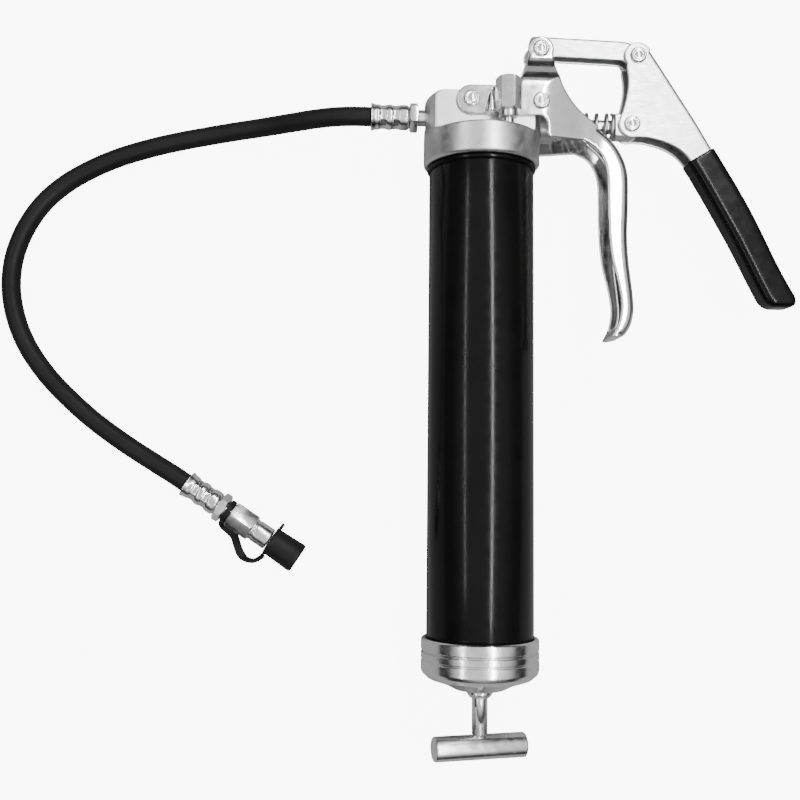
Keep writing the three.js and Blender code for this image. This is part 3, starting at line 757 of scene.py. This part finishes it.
def handle_outline():
    ear = arc(PIN_LINK_FRONT, 7.3, 208, -20, 18)
    front_ear = arc(PIN_HANDLE_FRONT, 8.1, 270, 90, 18)
    x, y = PIN_HANDLE_FRONT
    return [
        *spline(HANDLE_BACK), *bend(HANDLE_BACK[-1], (75, -94.5), HANDLE_FRONT[0])[1:],
        *spline(HANDLE_FRONT)[1:], *bend((36, 13.2), (33.4, 13.2), (33.4, 15.6)),
        *bend((33.4, 19.5), (33, 24.4), (28.4, 24.6)), *front_ear,
        (18, y + 8.1), (19.2, 45), (24.4, 60), *ear,
    ]


def joggles(inset=0.0):
    """Half width of the handle by y, and half width by x: the narrower one counts."""
    ear, head, grip = EAR_HALF - inset, HEAD_HALF - inset, GRIP_HALF - inset
    by_y = [(-120, head), (45, head), (59, ear), (90, ear)]
    by_x = [(-60, head), (33.5, head), (42, grip + 4.4), (52, grip + 1.7), (63, grip), (120, grip)]
    return by_y, by_x


def handle_half(x, y):
    by_y, by_x = joggles()
    return np.minimum(np.interp(y, *zip(*by_y)), np.interp(x, *zip(*by_x)))


def envelope(inset):
    """Space between two mirror-image sheets, wide over the head and narrow at ears and grip."""
    side, front = joggles(inset)
    along_y = rounded([*side, *[(y, -z) for y, z in side[::-1]]], 6)
    along_x = rounded([*front, *[(x, -z) for x, z in front[::-1]]], 3.5)
    up = Matrix(((0, 0, 1, 0), (1, 0, 0, 0), (0, 1, 0, 0), (0, 0, 0, 1)))
    across = Matrix(((1, 0, 0, 0), (0, 0, 1, 0), (0, 1, 0, 0), (0, 0, 0, 1)))
    solid = helper(lambda bm: prism(bm, along_y, -120, 120, up))
    return combine(solid, "INTERSECT", helper(lambda bm: prism(bm, along_x, -120, 120, across)))


def make_handle():
    outline = handle_outline()
    body = helper(lambda bm: prism(bm, outline, -40, 40))
    combine(body, "INTERSECT", envelope(0))
    swell = helper(lambda bm: turned(bm, [(0, 0), (3.6, 0), (3.3, 1.6), (0.9, 12), (0, 12.6)],
                                     at=(3, 25.4, HEAD_HALF - 0.4), sides=40))
    combine(body, "UNION", swell)
    web = offset(spline(HANDLE_BACK[2:]), SHEET + 0.4)
    inside = [
        (80, 46), (web[0][0], 46), *web[:-5], (68, -91), (60, -100), (-30, -100), (-30, 100), (80, 100),
    ]
    cavity = helper(lambda bm: prism(bm, inside, -40, 40))
    combine(cavity, "INTERSECT", envelope(SHEET))
    combine(body, "DIFFERENCE", cavity)
    window = helper(lambda bm: prism(bm, [(40, 13.5), (100, 13.5), (100, 34.5), (40, 34.5)], -9, 9))
    combine(
        body, "DIFFERENCE", window,
        bore(PIN_LINK_FRONT, SHANK + GAP),
        bore(PIN_HANDLE_FRONT, SHANK + GAP),
        bore(PIN_HANDLE_REAR, REAR_SHANK + GAP),
    )
    softened(body, 0.45, 2)
    on_back = range(21, len(spline(HANDLE_BACK)) + 4)  # points where the web bends into the sides
    radii = [4.6 if i in on_back else 0.8 for i in range(len(outline))]
    round_rims(body, outline, radii, handle_half)
    smoothed(body, 5)
    body.name = "handle_shell"
    dress(body, "gun", "polished", "fixed_handle")


make_handle()

# ---------------------------------------------------------------- link, lever and grip


def link_frame():
    """Moves a drawing along the link's own line onto the link."""
    along = Vector(PIN_LINK_REAR) - Vector(PIN_LINK_FRONT)
    turn = Matrix.Rotation(math.atan2(along.y, along.x), 4, "Z")
    return Matrix.Translation((*PIN_LINK_FRONT, 0)) @ turn, along.length


def make_link():
    matrix, length = link_frame()
    outline = rounded([
        (-5.4, -5.2), (5, -5.2), (8, -2.6), (length - 8, -2.6), (length - 5, -5),
        (length + 5, -5), (length + 5, 6.4), (length - 8, 8.8), (-5.4, 8.8),
    ], 2.4)
    inside = [(-12, -12), (length + 12, -12), (length + 12, 4.8), (length - 8, 7), (-12, 7)]
    wall = LINK_HALF - 1.6
    body = helper(lambda bm: prism(bm, outline, -LINK_HALF, LINK_HALF, matrix))
    combine(body, "DIFFERENCE", helper(lambda bm: prism(bm, inside, -wall, wall, matrix)),
            bore(PIN_LINK_FRONT, SHANK + GAP), bore(PIN_LINK_REAR, SHANK + GAP))
    softened(body, 0.36, 2)
    corners = [(matrix @ Vector((x, y, 0))).xy for x, y in outline]
    radii = [1.9 if y > 3 else 0.6 for _, y in outline]
    round_rims(body, corners, radii, lambda x, y: np.full(len(x), LINK_HALF))
    smoothed(body, RIM_SMOOTHING)
    body.name = "link_channel"
    dress(body, "link_bar", "satin", "link")


def lever_outline(grow=0.0):
    inner = offset(spline(LEVER_INNER), -grow)
    return [
        *offset(spline(LEVER_OUTER), -grow),
        *bend((171.6 + grow, -69), (173.4 + grow, -73 - grow), (168.6, -73.4 - grow), 6)[1:],
        *bend((161, -73.4 - grow), (157.6 - grow, -72.4 - grow), inner[0], 6)[:-1],
        *inner,
        *arc(PIN_PLUNGER, 7.4 + grow, -77, -195, 16),
        *offset(spline(LEVER_THROAT), -grow),
        *arc(PIN_LINK_REAR, 7.8 + grow, 218, 24, 18),
    ]


def make_lever():
    web = offset(spline(LEVER_OUTER), LEVER_WALL + 0.4)
    inside = [(70, 120), (web[0][0], 120), *web, (130, -120), (70, -120)]
    wall = LEVER_HALF - LEVER_WALL
    body = helper(lambda bm: prism(bm, lever_outline(), -LEVER_HALF, LEVER_HALF))
    combine(body, "DIFFERENCE", helper(lambda bm: prism(bm, inside, -wall, wall)),
            bore(PIN_LINK_REAR, SHANK + GAP), bore(PIN_PLUNGER, SHANK + GAP))
    softened(body, VOXEL, 2)
    outline = lever_outline()
    back_count = len(spline(LEVER_OUTER))
    radii = [2.6 if i < back_count else 0.6 for i in range(len(outline))]
    round_rims(body, outline, radii, lambda x, y: np.full(len(x), LEVER_HALF))
    smoothed(body, RIM_SMOOTHING)
    body.name = "lever_channel"
    dress(body, "squeeze_lever", "satin", "lever")


def make_sleeve():
    mouth = [(100, -2), (113.6, 4.8), (131.5, 15.6), (140, 90), (60, 90), (60, -2)]
    outline = lever_outline(SLEEVE_SKIN)
    sleeve = helper(lambda bm: prism(bm, outline, -SLEEVE_HALF, SLEEVE_HALF))
    combine(sleeve, "DIFFERENCE", helper(lambda bm: prism(bm, mouth, -20, 20)))
    softened(sleeve, VOXEL, 2)
    round_rims(sleeve, outline, [3.9] * len(outline), lambda x, y: np.full(len(x), SLEEVE_HALF))
    smoothed(sleeve, 25)
    sleeve.name = "grip_sleeve"
    dress(sleeve, "squeeze_lever", "vinyl", "lever_grip")


make_link()
make_lever()
make_sleeve()

# ---------------------------------------------------------------- rivets


def make_rivet(name, node, body, centre, shank, half):
    seat = half + GAP * 0.2
    top = half + GAP + 1.5
    head = rounded([
        (RIVET_HEAD, seat), (RIVET_HEAD, seat + 1.0), (RIVET_HEAD - 0.9, top),
        (RIVET_HEAD - 2.1, top - 0.45), (1.0, top + 0.05),
    ], 0.7, closed=False)

    def build(bm):
        for side in (0, 180):
            flip = Matrix.Rotation(math.radians(side), 4, "X")
            turned(bm, [(0, 0), (shank, 0), (shank, seat), *head, (0, top + 0.05)],
                   at=(*centre, 0), turn=flip @ ALONG_Z, sides=48)

    piece(name, build, body, "zinc", node)


for rivet in (
    ("rivet_link_front", "link_front_pin", "gun", PIN_LINK_FRONT, SHANK, EAR_HALF),
    ("rivet_link_rear", "link_rear_pin", "squeeze_lever", PIN_LINK_REAR, SHANK, LEVER_HALF),
    ("rivet_plunger", "plunger_pin", "squeeze_lever", PIN_PLUNGER, SHANK, LEVER_HALF),
    ("rivet_handle_rear", "handle_rear_rivet", "gun", PIN_HANDLE_REAR, REAR_SHANK, HEAD_HALF),
    ("rivet_handle_front", "handle_front_rivet", "gun", PIN_HANDLE_FRONT, SHANK, HEAD_HALF),
):
    make_rivet(*rivet)

# ---------------------------------------------------------------- hexagons, springs, plunger


def hex_bar(across, low, high, matrix, turn=0):
    """A hexagonal bar along the matrix's own y, with chamfered ends."""
    corner = across / math.sqrt(3)
    corners = [math.radians(60 * k + turn) for k in range(6)]
    outline = [(corner * math.cos(a), corner * math.sin(a)) for a in corners]
    stand = matrix @ Matrix.Rotation(math.radians(-90), 4, "X")
    bar = helper(lambda bm: prism(bm, outline, low, high, stand))
    wide = corner + 0.1
    ends = [(0, low), (across / 2, low), (wide, low + HEX_SLOPE), (wide, high - HEX_SLOPE),
            (across / 2, high), (0, high)]
    combine(bar, "INTERSECT", helper(lambda bm: turned(bm, ends, turn=matrix, sides=72)))
    return bevelled(bar, 0.18, 25, 2)


def joined(name, *objects):
    """One object from several that touch."""
    bm = bmesh.new()
    for obj in objects:
        bm.from_mesh(obj.data)
        bpy.data.objects.remove(obj)
    mesh = bpy.data.meshes.new(name)
    bm.to_mesh(mesh)
    bm.free()
    mesh.shade_smooth()
    return make_object(name, mesh)


def sharpened(obj):
    """Keeps creases sharp and the rest smooth."""
    obj.data.set_sharp_from_angle(angle=CREASE)


def make_valve():
    x, z = 11.2, 24.6
    matrix = Matrix.Translation((x, 0, z))
    corners = [(3.0, 13.4), (3.0, 19.6), (5.0, 20.4), (5.2, 23.4), (4.6, 24.2), (4.6, 25)]
    neck = [(0, 13.4), *rounded(corners, 0.4, closed=False), (0, 25)]
    stem = helper(lambda bm: turned(bm, neck, turn=matrix, sides=48))
    plug = joined("valve_plug", hex_bar(12, 24.2, 42, matrix, turn=-9), stem)
    sharpened(plug)
    dress(plug, "gun", "zinc", "bleed_valve")


def coil(radius, turns, low, high, wire_radius):
    """Points of a spring along y whose end turns lie closed."""
    end_turns, pitch = 0.8, 2.1 * wire_radius
    count = int(turns * COIL_STEPS)
    path = []
    for i in range(count + 1):
        turn = turns * i / count
        open_turns = turns - 2 * end_turns
        open_share = min(max((turn - end_turns) / open_turns, 0), 1)
        closed = min(turn, end_turns) + max(turn - turns + end_turns, 0)
        free = high - low - 2 * wire_radius - 2 * end_turns * pitch
        height = low + wire_radius + closed * pitch + free * open_share
        angle = 2 * math.pi * turn
        path.append((radius * math.cos(angle), height, radius * math.sin(angle)))
    return path


def make_spring(name, node, radius, turns, low, high, wire_radius, matrix):
    path = [matrix @ Vector(p) for p in coil(radius, turns, low, high, wire_radius)]
    spring = piece(name, lambda bm: swept(bm, path, wire_radius, 10), "gun", "spring", node)
    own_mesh(spring)


def make_springs():
    plunger_line = Matrix.Translation((0, PIN_PLUNGER[1], 0)) @ ALONG_X
    outlet_line = Matrix.Translation((0, OUTLET_Y, 0)) @ ALONG_X
    make_spring("return_spring", "plunger_spring", 6.9, 5.5, PLUNGER_SEAT, 73.3, 0.9, plunger_line)
    make_spring("barrel_spring", "follower_spring", 15, 10, CAP_SEAT, -31.4, 1.2, ALONG_Y)
    make_spring("valve_spring", "check_spring", 2.4, 3, VALVE_SEAT, -19.7, 0.35, outlet_line)


def refined(name, node, body, look, voxel, rounds):
    """The CAD node's own shape with softer edges."""
    obj = make_object(name, frame["nodes"][node].data.copy())
    obj.data.transform(TO_FRAME.inverted())
    softened(obj, voxel, rounds)
    dress(obj, body, look, node)


make_valve()
make_springs()
refined("plunger_rod", "plunger", "plunger_bar", "satin", 0.3, 3)
refined("gland_nut", "packing_nut", "gun", "satin", 0.3, 2)

# ---------------------------------------------------------------- hose ends

INLET_LINE = Matrix.Translation(HOSE_ROUTE[0]) @ ALONG_X
COUPLER_LINE = Matrix.Translation(COUPLER_PLACE) @ Matrix.Rotation(COUPLER_ANGLE - math.pi / 2, 4, "Z")
CRIMP_SIDES = 8
CRIMPS = [share * (FERRULE_LENGTH / 3) for share in (0.6, 1.6)]  # where the pressed bands begin


def crimped(radius, height, angle):
    """Eight flats in the two pressed bands of a ferrule."""
    pressed = any(start + 1 < height < start + 3.8 for start in CRIMPS)
    if not pressed or radius < HOSE_RADIUS + 0.5:
        return radius
    flat = math.pi / CRIMP_SIDES
    from_middle = (angle + flat) % (2 * flat) - flat
    return min(radius + 0.2, (radius - 0.1) / math.cos(from_middle))


def make_ferrule(name, node, matrix):
    outer, inner = FERRULE_RADIUS, HOSE_RADIUS + GAP
    waist = outer - 0.7
    profile = [(inner, 0), (outer + 0.9, 0), (outer, 2.4)]
    for start in CRIMPS:
        profile += [(outer, start), (waist, start + 1.4), (waist, start + 3.4), (outer, start + 4.8)]
    profile += [(outer, FERRULE_LENGTH - 1), (outer - 1, FERRULE_LENGTH), (inner, FERRULE_LENGTH)]
    profile = rounded(profile, 0.6)
    piece(name, lambda bm: turned(bm, profile, turn=matrix, sides=96, dent=crimped), "gun", "zinc", node)


def make_fitting(name, node, matrix, radius, stem_to):
    collar_from = FERRULE_LENGTH + GAP
    collar_to = FERRULE_LENGTH + 4.6
    stem = [
        (0, collar_to - 0.5), (radius, collar_to - 0.5), (radius, stem_to - 0.5),
        (radius - 0.5, stem_to), (0, stem_to),
    ]
    fitting = joined(name, hex_bar(14.6, collar_from, collar_to, matrix),
                     helper(lambda bm: turned(bm, stem, turn=matrix, sides=64)))
    sharpened(fitting)
    dress(fitting, "gun", "zinc", node)


def make_coupler(matrix):
    nose = rounded([(3.6, 43.5), (6.2, 43.5), (6.2, 44.6), (5.9, 45.0), (5.9, 45.8), (6.2, 46.2),
                    (6.2, 54.4), (5.6, 55), (3.6, 55)], 0.3)
    bar = hex_bar(14, 29.6, 44, matrix, turn=30)
    hollow = [(0, 25), (3.6, 25), (3.6, 36), (1.5, 36), (1.5, 38), (3.6, 38), (3.6, 50), (0, 50)]
    combine(bar, "DIFFERENCE", helper(lambda bm: turned(bm, hollow, turn=matrix, sides=48)))
    body = joined("coupler_sleeve", bar, helper(lambda bm: turned(bm, nose, turn=matrix, sides=72)))
    sharpened(body)
    dress(body, "gun", "zinc", "coupler_body")


def make_dust_cap(matrix):
    inner = 6.5
    profile = rounded([
        (inner, 55.4), (7.9, 55.4), (8.15, 57.2), (7.95, 57.8), (8.45, 72.6), (8.0, 74),
        (1.0, 74), (0.9, 73.4), (0.8, 70.4), (4.9, 70.4), (inner, 67),
    ], 0.7)
    shell = helper(lambda bm: turned(bm, profile, turn=matrix, sides=96))
    ear = rounded([(-11.6, 55.9), (-7.4, 55.7), (-7.4, 57.6), (-11.6, 57.6)], 0.7)
    tab = helper(lambda bm: prism(bm, ear, -1.7, 1.7, matrix))
    cap = joined("cap_rubber", shell, bevelled(tab, 0.3, 30, 2))
    dress(cap, "cap_on_coupler", "rubber", "dust_cap")


STRAP_LINE = [
    (6.2, 27.6, -2.2), (8.2, 29.5, -5.2), (8.8, 33.5, -6.4), (9.6, 37.6, -5), (12.4, 41.8, -2.4),
    (15.0, 46, -0.6), (15.9, 50.2, 0), (14.4, 54.2, 0), (11.4, 56.2, 0), (8.4, 57, 0),
]
STRAP_TURNS = [20, 8, 0, 0, 0, 12, 62, 74, 70, 66]  # degrees the band leans over at each point


def make_ribbon(path, turns, width, thickness, matrix):
    """A flat band along a path that stays nearly level, leaning over by the given angles."""
    corners = [(-width, -thickness), (width, -thickness), (width, thickness), (-width, thickness)]
    section = rounded(corners, thickness * 0.9)
    line = smooth_line(path, CORD_STEPS)
    leans = np.interp(np.linspace(0, 1, len(line)), np.linspace(0, 1, len(turns)), np.radians(turns))

    def build(bm):
        rings = []
        for i, point in enumerate(line):
            along = (line[min(i + 1, len(line) - 1)] - line[max(i - 1, 0)]).normalized()
            flat = along.cross(Vector((0, 0, 1))).normalized()
            up = flat.cross(along)
            wide = math.cos(leans[i]) * flat + math.sin(leans[i]) * up
            deep = math.cos(leans[i]) * up - math.sin(leans[i]) * flat
            rings.append([bm.verts.new(matrix @ (point + a * wide + b * deep)) for a, b in section])
        count = len(section)
        for low, high in zip(rings, rings[1:]):
            for k in range(count):
                bm.faces.new([low[k], low[(k + 1) % count], high[(k + 1) % count], high[k]])
        bm.faces.new(rings[0][::-1])
        bm.faces.new(rings[-1])

    return helper(build)


def make_strap(matrix):
    """A rubber collar with a band."""
    band = make_ribbon(STRAP_LINE, STRAP_TURNS, 2.3, 0.75, matrix)
    ring = rounded([(3.6, 26.2), (7, 26.2), (7, 29.1), (3.6, 29.1)], 0.7)
    strap = joined("cap_strap", band, helper(lambda bm: turned(bm, ring, turn=matrix, sides=64)))
    strap.data.transform(TO_FRAME)
    strap.data.materials.append(MATERIALS["rubber"])
    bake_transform(strap)
    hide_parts("dust_cap_strap")


make_ferrule("ferrule_inlet", "inlet_ferrule", INLET_LINE)
make_ferrule("ferrule_coupler", "coupler_ferrule", COUPLER_LINE)
make_fitting("fitting_inlet", "inlet_fitting", INLET_LINE, 4.4, 36.1)
make_fitting("fitting_coupler", "coupler_fitting", COUPLER_LINE, 3.3, 35.6)
make_coupler(COUPLER_LINE)
make_dust_cap(COUPLER_LINE)
make_strap(COUPLER_LINE)

# ---------------------------------------------------------------- CAD nodes that stay as they are

LOOK_OF_SLOT = {slot_name: look for look, slot_name in SLOTS.items()}
for part in frame["record"]["subparts"]:
    node = frame["nodes"][part["node"]]
    node.data.materials.clear()
    node.data.materials.append(MATERIALS[LOOK_OF_SLOT[part["material_slot"]]])

# ---------------------------------------------------------------- stage

FLOOR_SIZE = 6.0
FLOOR_WHITE = 0.24
HORIZON = 0.03  # brightness of the dome below the first height and above the second
ZENITH = 0.95
DOME_HEIGHTS = (0.3, 0.8)
FLOOR_GLOW = 9.0  # what the camera alone sees on top of the lit floor


def make_floor():
    """A wide pale floor that looks white to the camera and stays moderate in reflections."""
    mesh = bpy.data.meshes.new("floor")
    corners = [(-1, -1), (1, -1), (1, 1), (-1, 1)]
    mesh.from_pydata([(FLOOR_SIZE * x, FLOOR_SIZE * y, 0.0) for x, y in corners], [], [(0, 1, 2, 3)])
    floor = make_object("floor", mesh)
    nodes = Nodes("floor")
    seen = nodes.add("ShaderNodeLightPath").outputs["Is Camera Ray"]
    nodes.join("Base Color", grey(FLOOR_WHITE))
    nodes.join("Roughness", 0.95)
    nodes.join("Emission Color", grey(1.0))
    nodes.join("Emission Strength", nodes.ramp(seen, 0.0, FLOOR_GLOW, 0.0, 1.0))
    mesh.materials.append(nodes.material)


def make_light(name, place_at, target, size, power):
    """A rectangular lamp that faces the target, its long side along y."""
    light = bpy.data.lights.new(name, "AREA")
    light.shape = "RECTANGLE"
    light.size, light.size_y = size
    light.energy = power
    obj = bpy.data.objects.new(name, light)
    bpy.context.scene.collection.objects.link(obj)
    back = (Vector(place_at) - Vector(target)).normalized()
    side = Vector((0, 1, 0)).cross(back).normalized()
    facing = Matrix((side, back.cross(side), back)).transposed().to_4x4()
    obj.matrix_world = Matrix.Translation(place_at) @ facing


def make_world():
    """A studio dome, bright overhead and dark at the horizon, that the camera sees as pale as the floor."""
    world = bpy.data.worlds.new("studio")
    world.use_nodes = True
    tree = world.node_tree
    background = tree.nodes["Background"]
    direction = tree.nodes.new("ShaderNodeTexCoord")
    parts = tree.nodes.new("ShaderNodeSeparateXYZ")
    climb = tree.nodes.new("ShaderNodeMapRange")
    climb.interpolation_type = "SMOOTHSTEP"
    for socket, value in zip(("From Min", "From Max"), DOME_HEIGHTS):
        climb.inputs[socket].default_value = value
    for socket, value in zip(("To Min", "To Max"), (HORIZON, ZENITH)):
        climb.inputs[socket].default_value = value
    tree.links.new(direction.outputs["Generated"], parts.inputs[0])
    tree.links.new(parts.outputs["Z"], climb.inputs["Value"])
    seen = tree.nodes.new("ShaderNodeLightPath")
    pale = tree.nodes.new("ShaderNodeMix")
    pale.inputs["B"].default_value = FLOOR_GLOW
    tree.links.new(seen.outputs["Is Camera Ray"], pale.inputs["Factor"])
    tree.links.new(climb.outputs[0], pale.inputs["A"])
    tree.links.new(pale.outputs[0], background.inputs["Strength"])
    background.inputs["Color"].default_value = grey(1.0)
    bpy.context.scene.world = world


make_floor()
make_world()
lit = (ORIGIN.x, -0.1, ORIGIN.z)
make_light("strip_right", (lit[0] + 0.40, 0.1, 1.25), lit, (0.035, 2.6), 32)
make_light("strip_left", (lit[0] - 0.78, 0.1, 0.95), lit, (0.05, 2.0), 6)
